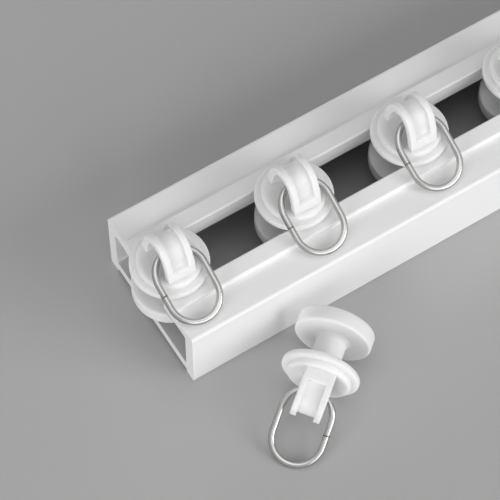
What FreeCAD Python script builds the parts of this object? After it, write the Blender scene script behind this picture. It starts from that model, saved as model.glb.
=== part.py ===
import FreeCAD, Part
import math
import os
import re
import Sketcher

# A length of extruded curtain track lying on its two feet with the slot upwards.
# Moulded gliders run in the slot, each with a wire ring in its eye for a curtain hook,
# and one more glider of the same set lies on its side by the near wall.
# Frame: X along the track from its open end, Y across with the near side at -Y, Z up from the feet.

DIMENSIONS = [
    ("track_length", 100.0, "length of the extrusion"),
    ("track_width", 24.0, "over the two side walls"),
    ("flange_height", 13.1, "feet to the flat top of the flanges"),
    ("wall", 2.0, "thickness of the side walls and feet"),
    ("foot_height", 0.7, "feet below the base plate"),
    ("base_thickness", 2.0, "plate between the side walls"),
    ("flange_thickness", 2.15, "flat top flanges"),
    ("slot_width", 8.14, "between the two lips"),
    ("lip_width", 2.83, "raised strip along each side of the slot"),
    ("lip_rise", 0.8, "lip above the flange"),
    ("bead_depth", 1.1, "running bead below the flange"),
    ("bead_width", 3.0, "running bead from the slot face to its root"),
    ("bead_nose", 0.9, "round of the bead at the slot"),
    ("edge_round", 0.5, "outer top edges of the track"),
    ("lip_round", 0.3, "edges of the lips"),
    ("foot_round", 0.4, "outer edges of the feet"),
    ("channel_round", 0.4, "inner corners of the channel"),
    ("running_gap", 0.3, "carrier disc above the lips"),
    ("head_diameter", 11.7, "disc inside the track"),
    ("head_thickness", 2.5, "disc inside the track"),
    ("neck_diameter", 4.6, "neck that runs in the slot"),
    ("neck_length", 5.05, "between the two discs"),
    ("neck_fillet", 0.7, "neck into the head"),
    ("carrier_diameter", 11.85, "disc on the lips"),
    ("carrier_thickness", 1.05, "disc on the lips"),
    ("boss_diameter", 9.8, "raised seat of the eye"),
    ("boss_rise", 0.95, "raised seat of the eye"),
    ("boss_round", 0.4, "top edge of the boss"),
    ("dish_diameter", 8.4, "hollow in the top of the boss"),
    ("dish_depth", 0.5, "hollow in the top of the boss"),
    ("disc_round", 0.35, "edges of the discs"),
    ("eye_width", 4.6, "strap of the eye along the track"),
    ("eye_span", 7.7, "strap over its two legs"),
    ("eye_height", 6.1, "boss to the crown of the strap"),
    ("eye_crown", 3.0, "outer radius of the strap's crown"),
    ("rib_width", 0.95, "each edge rib of the strap"),
    ("rib_height", 0.65, "ribs above the web of the strap"),
    ("web_thickness", 0.6, "web of the strap"),
    ("channel_foot", 1.8, "boss to each end of the channel in the strap"),
    ("strap_round", 0.2, "edges of the strap"),
    ("wire_diameter", 1.0, "ring wire"),
    ("ring_length", 12.3, "over the wire"),
    ("ring_width", 8.68, "over the wire"),
    ("ring_split", 0.12, "butt joint in the ring"),
    ("ring_seat", 0.25, "ring's hinge line in front of the glider's axis"),
    ("ring_lift", 1.95, "ring's hinge line above the boss"),
    ("ring_gap", 0.3, "leaning ring above the flange"),
    ("first_glider", 3.5, "open end of the track to the first glider"),
    ("first_pitch", 21.45, "first to second glider"),
    ("glider_pitch", 20.5, "between the following gliders"),
    ("loose_at", 20.3, "open end of the track to the loose glider's head"),
    ("loose_turn", 39.4, "loose glider's axis, turned from the track's line"),
    ("loose_gap", 1.4, "loose glider's head to the near wall"),
    ("loose_roll", 7.5, "loose glider's eye, rolled from upright"),
    ("loose_ring_fall", 0.75, "loose ring's hinge line below its glider's axis"),
    ("loose_ring_lift", 1.6, "loose ring's hinge line beyond the boss"),
    ("loose_ring_turn", 3.4, "loose ring turned away from its glider's axis"),
]

doc = FreeCAD.newDocument("curtain_track")
sheet = doc.addObject("Spreadsheet::Sheet", "Dimensions")
for row, (alias, value, note) in enumerate(DIMENSIONS, start=1):
    sheet.set(f"A{row}", alias)
    sheet.set(f"B{row}", str(value))
    sheet.set(f"C{row}", note)
    sheet.setAlias(f"B{row}", alias)
doc.recompute()

ALIASES = {alias for alias, value, note in DIMENSIONS}


def bound(expression):
    """The expression with each alias in it pointed at the sheet."""
    return re.sub(
        r"[a-z][a-z_]*",
        lambda word: f"Dimensions.{word[0]}" if word[0] in ALIASES else word[0],
        expression,
    )


def size(expression):
    """The present value of an expression of the sheet's aliases, as a plain number."""
    result = sheet.evalExpression(bound(expression))
    return float(getattr(result, "Value", result))


def new_body(name):
    body = doc.addObject("PartDesign::Body", name)
    body.Label = name
    return body


def new_sketch(body, role, name):
    """An empty sketch on one of the body's own origin planes."""
    plane = next(item for item in body.Origin.OriginFeatures if item.Role == role)
    sketch = body.newObject("Sketcher::SketchObject", name)
    sketch.AttachmentSupport = [(plane, "")]
    sketch.MapMode = "FlatFace"
    return sketch


def pin(sketch, kind, expression, *points):
    """One dimension between points, bound to the sheet."""
    index = sketch.addConstraint(Sketcher.Constraint(kind, *points, size(expression)))
    sketch.setExpression(f"Constraints[{index}]", bound(expression))


def pin_point(sketch, geometry, end, across, up):
    """Hold a point at its two distances from the sketch's origin."""
    for kind, axis, expression in (("DistanceX", -2, across), ("DistanceY", -1, up)):
        value = size(expression)
        if abs(value) < 1e-9:
            sketch.addConstraint(Sketcher.Constraint("PointOnObject", geometry, end, axis))
        elif value > 0:
            pin(sketch, kind, expression, -1, 1, geometry, end)
        else:
            pin(sketch, kind, f"-({expression})", geometry, end, -1, 1)


def bend(start, finish, radius, left):
    """The arc of less than half a turn from start to finish that bends left or right."""
    chord = finish - start
    middle = start + chord * 0.5
    side = FreeCAD.Vector(-chord.y, chord.x, 0).normalize()
    rise = math.sqrt(max(radius**2 - (chord.Length / 2) ** 2, 0))
    centre = middle + side * (rise if left else -rise)
    first, last = (start, finish) if left else (finish, start)
    angles = [math.atan2(point.y - centre.y, point.x - centre.x) for point in (first, last)]
    circle = Part.Circle(centre, FreeCAD.Vector(0, 0, 1), radius)
    return Part.ArcOfCircle(circle, angles[0], angles[1])


def draw(sketch, outline, closed=True):
    """
    Draw an outline of corners (across, up) or (across, up, radius, "left" or "right").
    The longer kind is followed by an arc that bends that way, the shorter kind by a line.
    """
    corners = [FreeCAD.Vector(size(corner[0]), size(corner[1]), 0) for corner in outline]
    count = len(corners) if closed else len(corners) - 1
    ends = []
    for index in range(count):
        start = corners[index]
        finish = corners[(index + 1) % len(corners)]
        corner = outline[index]
        if len(corner) == 2:
            geometry = sketch.addGeometry(Part.LineSegment(start, finish), False)
            ends.append((geometry, 1, 2))
        else:
            left = corner[3] == "left"
            geometry = sketch.addGeometry(bend(start, finish, size(corner[2]), left), False)
            ends.append((geometry, 1, 2) if left else (geometry, 2, 1))
            pin(sketch, "Radius", corner[2], geometry)
    for index, (geometry, first, last) in enumerate(ends):
        pin_point(sketch, geometry, first, outline[index][0], outline[index][1])
        if closed or index + 1 < count:
            following = ends[(index + 1) % count]
            sketch.addConstraint(
                Sketcher.Constraint("Coincident", geometry, last, following[0], following[1])
            )
        else:
            pin_point(sketch, geometry, last, outline[index + 1][0], outline[index + 1][1])


def mirrored(half):
    """The other half of an outline that is symmetric about the upright axis, in running order."""
    count = len(half)
    other = []
    for index in reversed(range(count)):
        corner = (f"-({half[index][0]})", half[index][1])
        if index > 0 and len(half[index - 1]) == 4:
            corner += half[index - 1][2:]
        other.append(corner)
    return other


# Track: one extruded section, open along the top, with raised lips at the slot and a rounded
# bead under each lip that a glider's head runs on when the track hangs slot downwards.
HALF_WIDTH = "track_width / 2"
HALF_SLOT = "slot_width / 2"
INNER_HALF = "track_width / 2 - wall"
LIP_EDGE = "slot_width / 2 + lip_width"
LIP_TOP = "flange_height + lip_rise"
FLANGE_UNDER = "flange_height - flange_thickness"
BEAD_UNDER = "flange_height - flange_thickness - bead_depth"
BASE_TOP = "foot_height + base_thickness"
BEAD_SLOPE = "((bead_width - bead_nose)^2 + bead_depth^2) / (2 * bead_depth)"

outer_half = [
    (HALF_SLOT, f"{BEAD_UNDER} + bead_nose"),
    (HALF_SLOT, f"{LIP_TOP} - lip_round", "lip_round", "right"),
    (f"{HALF_SLOT} + lip_round", LIP_TOP),
    (f"{LIP_EDGE} - lip_round", LIP_TOP, "lip_round", "right"),
    (LIP_EDGE, f"{LIP_TOP} - lip_round"),
    (LIP_EDGE, "flange_height"),
    (f"{HALF_WIDTH} - edge_round", "flange_height", "edge_round", "right"),
    (HALF_WIDTH, "flange_height - edge_round"),
    (HALF_WIDTH, "foot_round", "foot_round", "right"),
    (f"{HALF_WIDTH} - foot_round", "0"),
    (INNER_HALF, "0"),
    (INNER_HALF, "foot_height"),
]
inner_half = [
    (f"{INNER_HALF} - channel_round", BASE_TOP, "channel_round", "left"),
    (INNER_HALF, f"{BASE_TOP} + channel_round"),
    (INNER_HALF, f"{FLANGE_UNDER} - channel_round", "channel_round", "left"),
    (f"{INNER_HALF} - channel_round", FLANGE_UNDER),
    (f"{HALF_SLOT} + bead_width", FLANGE_UNDER, BEAD_SLOPE, "right"),
    (f"{HALF_SLOT} + bead_nose", BEAD_UNDER, "bead_nose", "right"),
]
start_of_bead = (HALF_SLOT, f"{BEAD_UNDER} + bead_nose")
far_side = mirrored(outer_half)[:-1]
far_bead = mirrored(inner_half + [start_of_bead])
section = outer_half + far_side + far_bead + inner_half

track = new_body("track")
track_section = new_sketch(track, "YZ_Plane", "track_section")
draw(track_section, section)
extrusion = track.newObject("PartDesign::Pad", "extrusion")
extrusion.Profile = track_section
extrusion.setExpression("Length", bound("track_length"))

# Glider: one moulding. The head runs inside the track, the neck passes the slot, the carrier disc
# lies over the lips, and a ribbed strap on the carrier's boss forms the eye for the ring.
CARRIER_UNDER = f"{LIP_TOP} + running_gap"
HEAD_TOP = f"{CARRIER_UNDER} - neck_length"
HEAD_UNDER = f"{HEAD_TOP} - head_thickness"
CARRIER_TOP = f"{CARRIER_UNDER} + carrier_thickness"
BOSS_TOP = f"{CARRIER_TOP} + boss_rise"
HEAD_RADIUS = "head_diameter / 2"
NECK_RADIUS = "neck_diameter / 2"
CARRIER_RADIUS = "carrier_diameter / 2"
BOSS_RADIUS = "boss_diameter / 2"
DISH_RADIUS = "dish_diameter / 2"
DISH_CURVE = "((dish_diameter / 2)^2 + dish_depth^2) / (2 * dish_depth)"

TURNED_OUTLINE = [
    ("0", HEAD_UNDER),
    (f"{HEAD_RADIUS} - disc_round", HEAD_UNDER, "disc_round", "left"),
    (HEAD_RADIUS, f"{HEAD_UNDER} + disc_round"),
    (HEAD_RADIUS, f"{HEAD_TOP} - disc_round", "disc_round", "left"),
    (f"{HEAD_RADIUS} - disc_round", HEAD_TOP),
    (f"{NECK_RADIUS} + neck_fillet", HEAD_TOP, "neck_fillet", "right"),
    (NECK_RADIUS, f"{HEAD_TOP} + neck_fillet"),
    (NECK_RADIUS, CARRIER_UNDER),
    (f"{CARRIER_RADIUS} - disc_round", CARRIER_UNDER, "disc_round", "left"),
    (CARRIER_RADIUS, f"{CARRIER_UNDER} + disc_round"),
    (CARRIER_RADIUS, f"{CARRIER_TOP} - disc_round", "disc_round", "left"),
    (f"{CARRIER_RADIUS} - disc_round", CARRIER_TOP),
    (BOSS_RADIUS, CARRIER_TOP),
    (BOSS_RADIUS, f"{BOSS_TOP} - boss_round", "boss_round", "left"),
    (f"{BOSS_RADIUS} - boss_round", BOSS_TOP),
    (DISH_RADIUS, BOSS_TOP, DISH_CURVE, "right"),
    ("0", f"{BOSS_TOP} - dish_depth"),
]

EYE_HALF = "eye_span / 2"
STRAP_THICKNESS = "rib_height + web_thickness"
TUNNEL_HALF = f"{EYE_HALF} - ({STRAP_THICKNESS})"
LEG_RADIUS = f"((({EYE_HALF})^2 + eye_height^2 - 2 * eye_height * eye_crown) / (eye_span - 2 * eye_crown))"
LEG_CENTRE = f"({LEG_RADIUS} - {EYE_HALF})"
CROWN_CENTRE = "(eye_height - eye_crown)"
CENTRES_APART = f"({LEG_RADIUS} - eye_crown)"
CHANNEL_REACH = "eye_span / 2 + rib_height"
CHANNEL_FOOT = f"{BOSS_TOP} + channel_foot"
CHANNEL_ROOF = f"{BOSS_TOP} + eye_height + rib_height"


def arch(inset, foot, start):
    """
    The strap's arch at some depth inside its outer face, from a height over the boss on the
    start side to the other side: legs that curve in from the boss and a tighter crown.
    """
    sign, way = ("", "left") if start == "right" else ("-", "right")
    leg = f"({LEG_RADIUS} - ({inset}))"
    crown = f"(eye_crown - ({inset}))"
    half = [
        (f"{sign}(sqrt({leg}^2 - ({foot})^2) - {LEG_CENTRE})", f"{BOSS_TOP} + {foot}", leg, way),
        (
            f"{sign}({crown} * {LEG_CENTRE} / {CENTRES_APART})",
            f"{BOSS_TOP} + {CROWN_CENTRE} + {crown} * {CROWN_CENTRE} / {CENTRES_APART}",
            crown,
            way,
        ),
    ]
    return half + mirrored(half)


STRAP_OUTLINE = [
    *arch("0", "0", "right"),
    (f"-({EYE_HALF})", CARRIER_TOP),
    (f"-({TUNNEL_HALF})", CARRIER_TOP),
    *arch(STRAP_THICKNESS, "0", "left"),
    (TUNNEL_HALF, CARRIER_TOP),
    (EYE_HALF, CARRIER_TOP),
]
CHANNEL_OUTLINE = [
    *arch("rib_height", "channel_foot", "left"),
    (CHANNEL_REACH, CHANNEL_FOOT),
    (CHANNEL_REACH, CHANNEL_ROOF),
    (f"-({CHANNEL_REACH})", CHANNEL_ROOF),
    (f"-({CHANNEL_REACH})", CHANNEL_FOOT),
]


def side_edges(shape):
    """Names of the edges that border the strap's two side faces above the boss."""
    side = size("eye_width") / 2
    floor = size(BOSS_TOP)
    names = []
    for index, edge in enumerate(shape.Edges, start=1):
        box = edge.BoundBox
        on_side = abs(abs(box.XMin) - side) < 1e-6 and abs(box.XMax - box.XMin) < 1e-6
        if on_side and box.ZMax > floor + size("strap_round") and not edge.Degenerated:
            names.append(f"Edge{index}")
    return names


def make_glider(name):
    body = new_body(name)
    turned_sketch = new_sketch(body, "XZ_Plane", f"{name}_turned_sketch")
    draw(turned_sketch, TURNED_OUTLINE)
    turned = body.newObject("PartDesign::Revolution", f"{name}_turned")
    turned.Profile = turned_sketch
    turned.ReferenceAxis = (turned_sketch, ["V_Axis"])
    turned.Angle = 360

    strap_sketch = new_sketch(body, "YZ_Plane", f"{name}_strap_sketch")
    draw(strap_sketch, STRAP_OUTLINE)
    strap = body.newObject("PartDesign::Pad", f"{name}_strap")
    strap.Profile = strap_sketch
    strap.SideType = "Symmetric"
    strap.setExpression("Length", bound("eye_width"))

    channel_sketch = new_sketch(body, "YZ_Plane", f"{name}_channel_sketch")
    draw(channel_sketch, CHANNEL_OUTLINE)
    channel = body.newObject("PartDesign::Pocket", f"{name}_channel")
    channel.Profile = channel_sketch
    channel.SideType = "Symmetric"
    channel.setExpression("Length", bound("eye_width - 2 * rib_width"))
    doc.recompute()

    rounded = body.newObject("PartDesign::Fillet", f"{name}_rounded")
    rounded.Base = (channel, side_edges(channel.Shape))
    rounded.setExpression("Radius", bound("strap_round"))
    return body


# Ring: spring wire bent into a loop with straight sides and a butt joint in one of them.
WIRE_RADIUS = "wire_diameter / 2"
BEND_RADIUS = "(ring_width - wire_diameter) / 2"
STRAIGHT_HALF = "(ring_length - ring_width) / 2"

RING_PATH = [
    (f"-({BEND_RADIUS})", "ring_split / 2"),
    (f"-({BEND_RADIUS})", STRAIGHT_HALF, BEND_RADIUS, "right"),
    ("0", f"{STRAIGHT_HALF} + {BEND_RADIUS}", BEND_RADIUS, "right"),
    (BEND_RADIUS, STRAIGHT_HALF),
    (BEND_RADIUS, f"-({STRAIGHT_HALF})", BEND_RADIUS, "right"),
    ("0", f"-({STRAIGHT_HALF} + {BEND_RADIUS})", BEND_RADIUS, "right"),
    (f"-({BEND_RADIUS})", f"-({STRAIGHT_HALF})"),
    (f"-({BEND_RADIUS})", "-ring_split / 2"),
]


def make_ring(name):
    body = new_body(name)
    path = new_sketch(body, "XY_Plane", f"{name}_path")
    draw(path, RING_PATH, closed=False)
    wire = new_sketch(body, "XZ_Plane", f"{name}_wire")
    wire.setExpression("AttachmentOffset.Base.z", bound("-ring_split / 2"))
    centre = FreeCAD.Vector(-size(BEND_RADIUS), 0, 0)
    circle = wire.addGeometry(Part.Circle(centre, FreeCAD.Vector(0, 0, 1), size(WIRE_RADIUS)), False)
    pin(wire, "Radius", WIRE_RADIUS, circle)
    pin_point(wire, circle, 3, f"-({BEND_RADIUS})", "0")
    loop = body.newObject("PartDesign::AdditivePipe", f"{name}_loop")
    loop.Profile = wire
    loop.Spine = path
    return body


# Gliders in the slot stand upright in a row. Each ring turns in its eye on a hinge line that runs
# midway through the bend of the wire, and leans until its front end is just above the near flange.
RING_REACH = "ring_length - wire_diameter"
HINGE_HEIGHT = f"{BOSS_TOP} + ring_lift"
RING_FRONT = "flange_height + wire_diameter / 2 + ring_gap"
BEND_IN_EYE = f"({BEND_RADIUS} - sqrt(({BEND_RADIUS})^2 - (eye_width / 2)^2)) / 2"

hinge_to_rear = size(BEND_IN_EYE)
hinge_to_front = size(RING_REACH) - hinge_to_rear


def hang_ring(ring, seat, hinge, turned):
    """Place a ring on a hinge point of its glider's seat, turned from level with the carrier."""
    forward = turned.multVec(FreeCAD.Vector(0, -1, 0))
    middle = hinge + forward * (size(RING_REACH) / 2 - hinge_to_rear)
    ring.Placement = seat.multiply(FreeCAD.Placement(middle, turned))


GLIDERS_IN_TRACK = 4
hinge = FreeCAD.Vector(0, -size("ring_seat"), size(HINGE_HEIGHT))
lean = math.degrees(math.asin((hinge.z - size(RING_FRONT)) / hinge_to_front))
leaning = FreeCAD.Rotation(FreeCAD.Vector(1, 0, 0), lean)
parts = [track]
place = size("first_glider")
for number in range(1, GLIDERS_IN_TRACK + 1):
    glider = make_glider(f"glider_{number}")
    glider.Placement = FreeCAD.Placement(FreeCAD.Vector(place, 0, 0), FreeCAD.Rotation())
    ring = make_ring(f"ring_{number}")
    hang_ring(ring, glider.Placement, hinge, leaning)
    parts += [glider, ring]
    place += size("first_pitch") if number == 1 else size("glider_pitch")

# The loose glider lies on the rims of its two discs, rolled a little, with its head by the near wall,
# and its ring slopes out of the eye with the front end on the ground.
turn = math.radians(size("loose_turn"))
head_middle = size(HEAD_TOP) - size("head_thickness") / 2
carrier_middle = size(CARRIER_UNDER) + size("carrier_thickness") / 2
tip = math.atan((size(HEAD_RADIUS) - size(CARRIER_RADIUS)) / (carrier_middle - head_middle))
level = FreeCAD.Vector(-math.cos(turn), -math.sin(turn), 0)
upright = FreeCAD.Vector(0, 0, 1)
axis = level * math.cos(tip) - upright * math.sin(tip)
upward = upright * math.cos(tip) + level * math.sin(tip)
lying = FreeCAD.Rotation(axis.cross(upward), upward * -1, axis, "ZYX")
head_reach = size(HEAD_RADIUS) * math.cos(turn) + size("head_thickness") / 2 * math.sin(turn)
head_place = FreeCAD.Vector(
    size("loose_at"),
    -size(HALF_WIDTH) - size("loose_gap") - head_reach,
    size(HEAD_RADIUS) * math.cos(tip) + size("head_thickness") / 2 * math.sin(tip),
)
loose_glider = make_glider("loose_glider")
loose_seat = FreeCAD.Placement(head_place - axis * head_middle, lying)
rolled = FreeCAD.Rotation(FreeCAD.Vector(0, 0, 1), -size("loose_roll"))
loose_glider.Placement = loose_seat.multiply(FreeCAD.Placement(FreeCAD.Vector(), rolled))

loose_hinge = FreeCAD.Vector(0, size("loose_ring_fall"), size(f"{BOSS_TOP} + loose_ring_lift"))
hinge_height = loose_seat.multVec(loose_hinge).z
drop = math.degrees(math.asin((hinge_height - size(WIRE_RADIUS)) / hinge_to_front) - tip)
sideways = FreeCAD.Rotation(FreeCAD.Vector(0, 1, 0), size("loose_ring_turn"))
sloping = sideways.multiply(FreeCAD.Rotation(FreeCAD.Vector(1, 0, 0), -90 - drop))
loose_ring = make_ring("loose_ring")
hang_ring(loose_ring, loose_seat, loose_hinge, sloping)
parts += [loose_glider, loose_ring]

doc.recompute()
for item in doc.Objects:
    if "Invalid" in item.State or "Error" in item.State:
        raise RuntimeError(f"{item.Label} failed: {item.State}")
for part in parts:
    if part.Shape.isNull() or not part.Shape.isValid():
        raise RuntimeError(f"{part.Label} has no valid shape")

os.makedirs("parts", exist_ok=True)
for part in parts:
    part.Shape.exportStep(f"parts/{part.Label}.step")
    print(part.Label, len(part.Shape.Solids), round(part.Shape.Volume, 2))
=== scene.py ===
import math

import bpy
from mathutils import Matrix, Vector


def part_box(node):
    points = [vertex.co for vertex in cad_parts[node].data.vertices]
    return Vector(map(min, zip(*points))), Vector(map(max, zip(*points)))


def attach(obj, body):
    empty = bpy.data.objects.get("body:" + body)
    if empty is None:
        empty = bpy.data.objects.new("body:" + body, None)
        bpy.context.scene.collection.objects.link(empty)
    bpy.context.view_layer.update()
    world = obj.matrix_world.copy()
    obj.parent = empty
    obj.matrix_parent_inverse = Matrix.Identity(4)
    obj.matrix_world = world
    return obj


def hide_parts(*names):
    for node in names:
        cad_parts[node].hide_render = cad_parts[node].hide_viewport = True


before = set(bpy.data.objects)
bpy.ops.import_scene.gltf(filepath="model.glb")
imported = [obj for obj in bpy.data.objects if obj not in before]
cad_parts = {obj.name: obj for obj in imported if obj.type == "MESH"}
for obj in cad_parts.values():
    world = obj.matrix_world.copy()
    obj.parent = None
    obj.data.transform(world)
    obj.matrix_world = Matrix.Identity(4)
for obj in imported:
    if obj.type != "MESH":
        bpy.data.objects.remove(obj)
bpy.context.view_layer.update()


# Track. A rigid white plastic channel, pushed through a die in one length and sawn off square.
# The die leaves faint lines along it and the saw leaves the ends rougher. Shade inside the
# channel is painted in grey, lighter towards the open ends where more light gets in.
class Tone:
    """One socket of a node tree. Sums and products of tones add the Math nodes they need."""

    # The Mix node's colour sockets go by number, because others of its sockets have the same names.
    MIX_FACTOR = 0
    MIX_FIRST = 6
    MIX_SECOND = 7
    MIX_RESULT = 2

    def __init__(self, tree, socket=None):
        self.tree = tree
        self.socket = socket

    def make(self, kind, settings, inputs, output=0):
        """Add a node of any kind, with its settings set before the values or links of its sockets."""
        node = self.tree.nodes.new(kind)
        for name, value in settings.items():
            setattr(node, name, value)
        for name, value in inputs.items():
            if isinstance(value, Tone):
                self.tree.links.new(value.socket, node.inputs[name])
            else:
                node.inputs[name].default_value = value
        return Tone(self.tree, node.outputs[output])

    def worked_out(self, operation, first, second):
        return self.make("ShaderNodeMath", {"operation": operation}, {0: first, 1: second})

    def __add__(self, other):
        return self.worked_out("ADD", self, other)

    def __radd__(self, other):
        return self.worked_out("ADD", other, self)

    def __sub__(self, other):
        return self.worked_out("SUBTRACT", self, other)

    def __rsub__(self, other):
        return self.worked_out("SUBTRACT", other, self)

    def __mul__(self, other):
        return self.worked_out("MULTIPLY", self, other)

    def __rmul__(self, other):
        return self.worked_out("MULTIPLY", other, self)

    def __abs__(self):
        return self.make("ShaderNodeMath", {"operation": "ABSOLUTE"}, {0: self})

    def rise(self, low, high):
        """0 below low, 1 above high and a smooth rise between, or a fall if low is the higher."""
        return self.make(
            "ShaderNodeMapRange",
            {"interpolation_type": "SMOOTHSTEP"},
            {"Value": self, "From Min": low, "From Max": high},
        )

    def stretched(self, scale):
        """These coordinates with so many pattern units to the metre along each axis."""
        return self.make("ShaderNodeVectorMath", {"operation": "MULTIPLY"}, {0: self, 1: scale})

    def cloud(self, detail):
        """Soft noise from 0 to 1 over these coordinates."""
        return self.make("ShaderNodeTexNoise", {}, {"Vector": self, "Scale": 1.0, "Detail": detail})

    def towards(self, start, finish):
        """A colour that runs from start, where this tone is 0, to finish, where it is 1."""
        settings = {"data_type": "RGBA", "clamp_factor": True}
        inputs = {self.MIX_FACTOR: self, self.MIX_FIRST: start, self.MIX_SECOND: finish}
        return self.make("ShaderNodeMix", settings, inputs, output=self.MIX_RESULT)

    def relief(self, height):
        """The surface's normal with this tone standing up to height metres out of it."""
        return self.make("ShaderNodeBump", {}, {"Height": self, "Strength": 1.0, "Distance": height})


def new_finish(name):
    """A new finish, its shader node and the coordinates of the object that wears it."""
    finish = bpy.data.materials.new(name)
    finish.use_nodes = True
    tree = finish.node_tree
    shader = tree.nodes["Principled BSDF"]
    place = Tone(tree).make("ShaderNodeTexCoord", {}, {}, output="Object")
    return finish, shader, place


def feed(shader, **tones):
    """Link tones to the shader's sockets, named in words with underscores."""
    for words, tone in tones.items():
        socket = shader.inputs[words.replace("_", " ").title()]
        tone.tree.links.new(tone.socket, socket)


def dress(names, finish):
    """Give CAD pieces a finish of their own in place of the plain one they came with."""
    for name in names:
        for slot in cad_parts[name].material_slots:
            slot.link = "OBJECT"
            slot.material = finish


MM = 0.001
TRACK_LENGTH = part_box("track")[1].x
INNER_WALL = 10.05 * MM
WALL_BLEND = 0.02 * MM
CHANNEL_FLOOR = 2.65 * MM
FLOOR_BLEND = 0.03 * MM
# Painted shade inside the channel: full grey deep in, fading out on the walls towards the open ends
# and staying partly grey on the base there.
PAINTED_SHADE_TOP = 10.4 * MM
PAINTED_SHADE_FADE = 0.5 * MM
PAINTED_SHADE_FULL_AT = 12.0 * MM
PAINTED_SHADE_AT_END = 0.6
PAINTED_SHADE_BASE_EDGE = 9.9 * MM
PAINTED_SHADE_BASE_BLEND = 0.1 * MM
SAWN_DEPTH = 0.02 * MM
TRACK_WHITE = (0.88, 0.88, 0.88, 1.0)
TRACK_WHITE_LOW = (0.85, 0.85, 0.85, 1.0)
PAINTED_SHADE_GREY = (0.36, 0.36, 0.36, 1.0)
DIE_LINE_SCALE = (4.0, 1400.0, 1400.0)
MOTTLE_SCALE = (60.0, 160.0, 160.0)
SAW_MARK_SCALE = (10.0, 5200.0, 300.0)
MOTTLE_SHARE = 0.7
PLASTIC_SHEEN = 0.2
TRACK_ROUGHNESS = 0.5
DIE_LINE_ROUGHNESS = 0.12
SAWN_ROUGHNESS = 0.2
SAW_MARK_RELIEF = 1.6
GRAIN_HEIGHT = 0.006 * MM

track_finish, track_shader, place = new_finish("white_extrusion")
along, across, up = (
    place.make("ShaderNodeSeparateXYZ", {}, {"Vector": place}, output=axis) for axis in "XYZ"
)
die_lines = place.stretched(DIE_LINE_SCALE).cloud(detail=3.0)
mottle = place.stretched(MOTTLE_SCALE).cloud(detail=2.0)
saw_marks = place.stretched(SAW_MARK_SCALE).cloud(detail=2.0)
to_nearest_end = TRACK_LENGTH / 2 - abs(along - TRACK_LENGTH / 2)
sawn = to_nearest_end.rise(2 * SAWN_DEPTH, SAWN_DEPTH)
inside = abs(across).rise(INNER_WALL, INNER_WALL - WALL_BLEND)
inside = inside * up.rise(CHANNEL_FLOOR, CHANNEL_FLOOR + FLOOR_BLEND)
inside = inside * up.rise(PAINTED_SHADE_TOP + PAINTED_SHADE_FADE, PAINTED_SHADE_TOP)
on_base = abs(across).rise(PAINTED_SHADE_BASE_EDGE, PAINTED_SHADE_BASE_EDGE - PAINTED_SHADE_BASE_BLEND)
base_shade_at_end = PAINTED_SHADE_AT_END * on_base
# Painted shade: grey inside the channel below the lips, lighter towards the open ends.
painted_shade = inside * (base_shade_at_end + (1 - base_shade_at_end) * to_nearest_end.rise(0.0, PAINTED_SHADE_FULL_AT))
streaked = MOTTLE_SHARE * mottle + (1 - MOTTLE_SHARE) * die_lines
white = streaked.towards(TRACK_WHITE_LOW, TRACK_WHITE)
track_colour = painted_shade.towards(white, PAINTED_SHADE_GREY)
roughness = TRACK_ROUGHNESS + DIE_LINE_ROUGHNESS * die_lines + SAWN_ROUGHNESS * sawn
grain = die_lines * (1 - sawn) + SAW_MARK_RELIEF * (saw_marks * sawn)
track_shader.inputs["Specular IOR Level"].default_value = PLASTIC_SHEEN
feed(track_shader, base_color=track_colour, roughness=roughness, normal=grain.relief(GRAIN_HEIGHT))
dress(["track"], track_finish)


# Gliders. Each is one white plastic moulding: a head that runs in the channel, a neck, a carrier
# disc over the slot and a ribbed eye. The mould leaves a satin skin with a faint, fine pebble, and
# light goes a little way into the plastic.
GLIDER_WHITE = (0.83, 0.83, 0.83, 1.0)
GLIDER_WHITE_LOW = (0.80, 0.80, 0.80, 1.0)
GLOW_SHARE = 0.8
GLOW_DEPTH = 1.6 * MM
GLOW_OF_EACH_COLOUR = (1.0, 1.0, 1.0)
FLOW_SCALE = (220.0, 220.0, 220.0)
PEBBLE_SCALE = (9000.0, 9000.0, 9000.0)
PEBBLE_HEIGHT = 0.003 * MM
GLIDER_ROUGHNESS = 0.54
FLOW_ROUGHNESS = 0.1
PEBBLE_ROUGHNESS = 0.05

gliders = sorted(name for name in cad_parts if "glider" in name)
glider_finish, glider_shader, place = new_finish("white_moulding")
flow = place.stretched(FLOW_SCALE).cloud(detail=3.0)
pebble = place.stretched(PEBBLE_SCALE).cloud(detail=1.0)
moulded = flow.towards(GLIDER_WHITE_LOW, GLIDER_WHITE)
roughness = GLIDER_ROUGHNESS + FLOW_ROUGHNESS * flow + PEBBLE_ROUGHNESS * pebble
glider_shader.inputs["Specular IOR Level"].default_value = PLASTIC_SHEEN
glider_shader.inputs["Subsurface Weight"].default_value = GLOW_SHARE
glider_shader.inputs["Subsurface Radius"].default_value = GLOW_OF_EACH_COLOUR
glider_shader.inputs["Subsurface Scale"].default_value = GLOW_DEPTH
feed(glider_shader, base_color=moulded, roughness=roughness, normal=pebble.relief(PEBBLE_HEIGHT))
dress(gliders, glider_finish)


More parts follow.
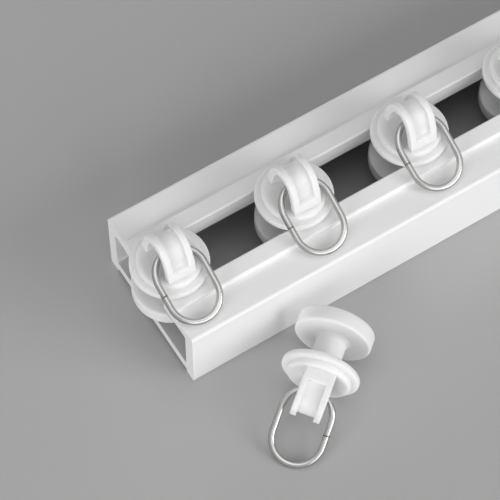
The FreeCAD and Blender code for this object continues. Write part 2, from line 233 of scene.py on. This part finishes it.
# Rings. Spring-steel wire, drawn round, cut off and bent into an oval whose ends butt in one side.
# Each is passed through its glider's eye. The drawing leaves fine streaks along the wire and a
# satin sheen. Shade in the butt gap is painted as dark steel next to the cut ends.
WIRE = 1.0 * MM
RING_LENGTH = 12.3 * MM
RING_WIDTH = 8.68 * MM
BUTT_GAP = 0.04 * MM
GAP_SHADE_REACH = 0.08 * MM
PULL_BAND = 0.01 * MM
BEND_STEPS = 121
WIRE_STEPS = 24
RING_LEAN = (math.radians(22.91), 0.0, 0.0)
LOOSE_RING_LIE = (math.radians(154.53), math.radians(0.04), math.radians(126.0))
STEEL_BRIGHT = (0.56, 0.56, 0.55, 1.0)
STEEL_DULL = (0.49, 0.49, 0.48, 1.0)
STEEL_GAP_SHADE = (0.08, 0.08, 0.08, 1.0)
STREAKS_ALONG = 250.0
STREAKS_ACROSS = (5000.0, 5000.0, 0.0)
SMEAR_SCALE = (300.0, 300.0, 300.0)
STREAK_SHARE = 0.6
WIRE_ROUGHNESS = 0.21
STREAK_ROUGHNESS = 0.08

wire_length = math.pi * (RING_WIDTH - WIRE) + 2 * (RING_LENGTH - RING_WIDTH) - BUTT_GAP
wire_finish, wire_shader, place = new_finish("drawn_wire")
along_wire = place.make("ShaderNodeAttribute", {"attribute_name": "along_wire"}, {}, output="Fac")
section = place.make("ShaderNodeAttribute", {"attribute_name": "wire_section"}, {}, output="Vector")
length_way = place.make("ShaderNodeCombineXYZ", {}, {"Z": STREAKS_ALONG * along_wire})
drawn = {0: section.stretched(STREAKS_ACROSS), 1: length_way}
streaks = place.make("ShaderNodeVectorMath", {"operation": "ADD"}, drawn).cloud(detail=3.0)
smears = place.stretched(SMEAR_SCALE).cloud(detail=2.0)
to_cut = wire_length / 2 - abs(along_wire - wire_length / 2)
steel = (STREAK_SHARE * streaks + (1 - STREAK_SHARE) * smears).towards(STEEL_DULL, STEEL_BRIGHT)
# Painted shade: the wire turns dark next to its cut ends, where the butt gap lies in shade.
wire_colour = to_cut.rise(GAP_SHADE_REACH, GAP_SHADE_REACH / 2).towards(steel, STEEL_GAP_SHADE)
wire_shader.inputs["Metallic"].default_value = 1.0
feed(wire_shader, base_color=wire_colour, roughness=WIRE_ROUGHNESS + STREAK_ROUGHNESS * streaks)

ring_rule = bpy.data.node_groups.new("bent_ring", "GeometryNodeTree")
RING_INPUTS = {
    "Length": "NodeSocketFloat",
    "Width": "NodeSocketFloat",
    "Wire": "NodeSocketFloat",
    "Gap": "NodeSocketFloat",
    "Middle": "NodeSocketVector",
    "Turn": "NodeSocketRotation",
}
for name, kind in RING_INPUTS.items():
    ring_rule.interface.new_socket(name=name, in_out="INPUT", socket_type=kind)
ring_rule.interface.new_socket(name="Ring", in_out="OUTPUT", socket_type="NodeSocketGeometry")
given = ring_rule.nodes.new("NodeGroupInput").outputs
length, width, wire, gap, middle, turn = (Tone(ring_rule, given[name]) for name in RING_INPUTS)
rule = Tone(ring_rule)

# A full turn of arc that starts in the middle of one side is pulled apart into two bends.
full_turn = {
    "Resolution": BEND_STEPS,
    "Radius": 0.5 * (width - wire),
    "Start Angle": math.pi,
    "Sweep Angle": -2 * math.pi,
}
loop = rule.make("GeometryNodeCurveArc", {"mode": "RADIUS"}, full_turn)
position = rule.make("GeometryNodeInputPosition", {}, {})
half_side = 0.5 * (length - width)
pulled = {
    "Value": rule.make("ShaderNodeSeparateXYZ", {}, {"Vector": position}, output="Y"),
    "From Min": -PULL_BAND,
    "From Max": PULL_BAND,
    "To Min": -1 * half_side,
    "To Max": half_side,
}
pull = rule.make("ShaderNodeMapRange", {"clamp": True}, pulled)
done = rule.make("GeometryNodeSplineParameter", {}, {}, output="Factor")
shift = rule.make("ShaderNodeCombineXYZ", {}, {"Y": pull + gap * (0.5 - done)})
loop = rule.make("GeometryNodeSetPosition", {}, {"Geometry": loop, "Offset": shift})
run = rule.make("GeometryNodeSplineParameter", {}, {}, output="Length")
loop = rule.make(
    "GeometryNodeStoreNamedAttribute",
    {"data_type": "FLOAT", "domain": "POINT"},
    {"Geometry": loop, "Name": "along_wire", "Value": run},
)
round_wire = {"Resolution": WIRE_STEPS, "Radius": 0.5 * wire}
profile = rule.make("GeometryNodeCurvePrimitiveCircle", {"mode": "RADIUS"}, round_wire)
profile = rule.make(
    "GeometryNodeStoreNamedAttribute",
    {"data_type": "FLOAT_VECTOR", "domain": "POINT"},
    {"Geometry": profile, "Name": "wire_section", "Value": position},
)
sweep = {"Curve": loop, "Profile Curve": profile, "Fill Caps": True}
swept = rule.make("GeometryNodeCurveToMesh", {}, sweep)
hang = {"Geometry": swept, "Translation": middle, "Rotation": turn}
hung = rule.make("GeometryNodeTransform", {}, hang)
smooth = rule.make("GeometryNodeSetShadeSmooth", {}, {"Geometry": hung})
real = rule.make("GeometryNodeRealizeInstances", {}, {"Geometry": smooth})
steel_ring = rule.make("GeometryNodeSetMaterial", {}, {"Geometry": real, "Material": wire_finish})
ring_rule.links.new(steel_ring.socket, ring_rule.nodes.new("NodeGroupOutput").inputs["Ring"])

for node in sorted(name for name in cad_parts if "ring" in name):
    low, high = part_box(node)
    bent = bpy.data.objects.new(f"bent_{node}", bpy.data.meshes.new(f"bent_{node}"))
    bpy.context.scene.collection.objects.link(bent)
    modifier = bent.modifiers.new("bent_ring", "NODES")
    modifier.node_group = ring_rule
    sizes = {
        "Length": RING_LENGTH,
        "Width": RING_WIDTH,
        "Wire": WIRE,
        "Gap": BUTT_GAP,
        "Middle": (low + high) / 2,
        "Turn": LOOSE_RING_LIE if node == "loose_ring" else RING_LEAN,
    }
    for socket in ring_rule.interface.items_tree:
        if socket.in_out == "INPUT":
            modifier[socket.identifier] = sizes[socket.name]
    shown = bent.evaluated_get(bpy.context.evaluated_depsgraph_get())
    mesh = bpy.data.meshes.new_from_object(shown)
    bent.modifiers.clear()
    bent.data = mesh
    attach(bent, node)
    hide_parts(node)


# Studio. A matt grey sweep under the part, soft lights in front of it, by its open end, overhead
# and low behind it, and a dim surround, which shows lighter in reflections. The lights by the end
# and behind are kept out of reflections. The camera looks down over the track's open end.
FLOOR_REACH = 3.0
FLOOR_SINK = 0.02 * MM
FLOOR_GREY = (0.452, 0.452, 0.452, 1.0)
FLOOR_GREY_LOW = (0.44, 0.44, 0.44, 1.0)
FLOOR_SHEEN = 0.2
FLOOR_ROUGHNESS = 0.75
PAPER_SCALE = (25.0, 25.0, 25.0)
PAPER_ROUGHNESS = 0.1

floor_mesh = bpy.data.meshes.new("floor")
edges = (-FLOOR_REACH, FLOOR_REACH)
corners = [(x, y, -FLOOR_SINK) for y in edges for x in edges]
floor_mesh.from_pydata(corners, [], [(0, 1, 3, 2)])
floor = bpy.data.objects.new("floor", floor_mesh)
bpy.context.scene.collection.objects.link(floor)
floor_finish, floor_shader, place = new_finish("matt_sweep")
paper = place.stretched(PAPER_SCALE).cloud(detail=3.0)
sweep_colour = paper.towards(FLOOR_GREY_LOW, FLOOR_GREY)
floor_shader.inputs["Specular IOR Level"].default_value = FLOOR_SHEEN
feed(floor_shader, base_color=sweep_colour, roughness=FLOOR_ROUGHNESS + PAPER_ROUGHNESS * paper)
floor_mesh.materials.append(floor_finish)

LOOK_AT = Vector((18.85, 2.39, 0.0)) * MM
LAMP_DISTANCE = 0.9


def soft_light(name, direction, size, strength, reflected=True):
    """A square soft light of so many watts in a direction from the middle of the picture."""
    light = bpy.data.lights.new(name, "AREA")
    light.shape = "SQUARE"
    light.size = size
    light.energy = strength
    lamp = bpy.data.objects.new(name, light)
    towards = Vector(direction).normalized()
    lamp.location = LOOK_AT + towards * LAMP_DISTANCE
    lamp.rotation_mode = "QUATERNION"
    lamp.rotation_quaternion = (-towards).to_track_quat("-Z", "Y")
    lamp.visible_glossy = reflected
    bpy.context.scene.collection.objects.link(lamp)


soft_light("front_light", (0.0, -1.0, 0.45), size=0.7, strength=2.25)
soft_light("front_right_light", (0.6, -0.8, 0.45), size=0.5, strength=3.6)
soft_light("end_light", (-1.0, -0.45, 0.39), size=0.7, strength=5.15, reflected=False)
soft_light("top_light", (0.0, 0.0, 1.0), size=0.9, strength=2.65)
soft_light("back_light", (0.1, 1.0, 0.17), size=0.26, strength=2.25, reflected=False)

SURROUND_DIM = (0.058, 0.058, 0.058, 1.0)
SURROUND_REFLECTED = (0.58, 0.58, 0.58, 1.0)
surround = bpy.data.worlds.new("surround")
surround.use_nodes = True
reflection = Tone(surround.node_tree).make("ShaderNodeLightPath", {}, {}, output="Is Glossy Ray")
glow = reflection.towards(SURROUND_DIM, SURROUND_REFLECTED)
feed(surround.node_tree.nodes["Background"], color=glow)
bpy.context.scene.world = surround

CAMERA_AZIMUTH = math.radians(-32.45)
CAMERA_HEIGHT = math.radians(61.22)
CAMERA_ROLL = math.radians(0.42)
CAMERA_DISTANCE = 350.06 * MM
CAMERA_LENS = 164.9
CAMERA_SENSOR = 36.0
NEAREST_SEEN = 0.01
FARTHEST_SEEN = 20.0

camera_data = bpy.data.cameras.new("camera")
camera_data.lens = CAMERA_LENS
camera_data.sensor_width = CAMERA_SENSOR
camera_data.clip_start = NEAREST_SEEN
camera_data.clip_end = FARTHEST_SEEN
camera = bpy.data.objects.new("camera", camera_data)
level = Vector((math.sin(CAMERA_AZIMUTH), -math.cos(CAMERA_AZIMUTH), 0.0))
back = level * math.cos(CAMERA_HEIGHT) + Vector((0.0, 0.0, math.sin(CAMERA_HEIGHT)))
aim = (-back).to_track_quat("-Z", "Y").to_matrix().to_4x4() @ Matrix.Rotation(CAMERA_ROLL, 4, "Z")
camera.matrix_world = Matrix.Translation(LOOK_AT + back * CAMERA_DISTANCE) @ aim
bpy.context.scene.collection.objects.link(camera)
bpy.context.scene.camera = camera
bpy.context.scene.view_settings.view_transform = "Standard"
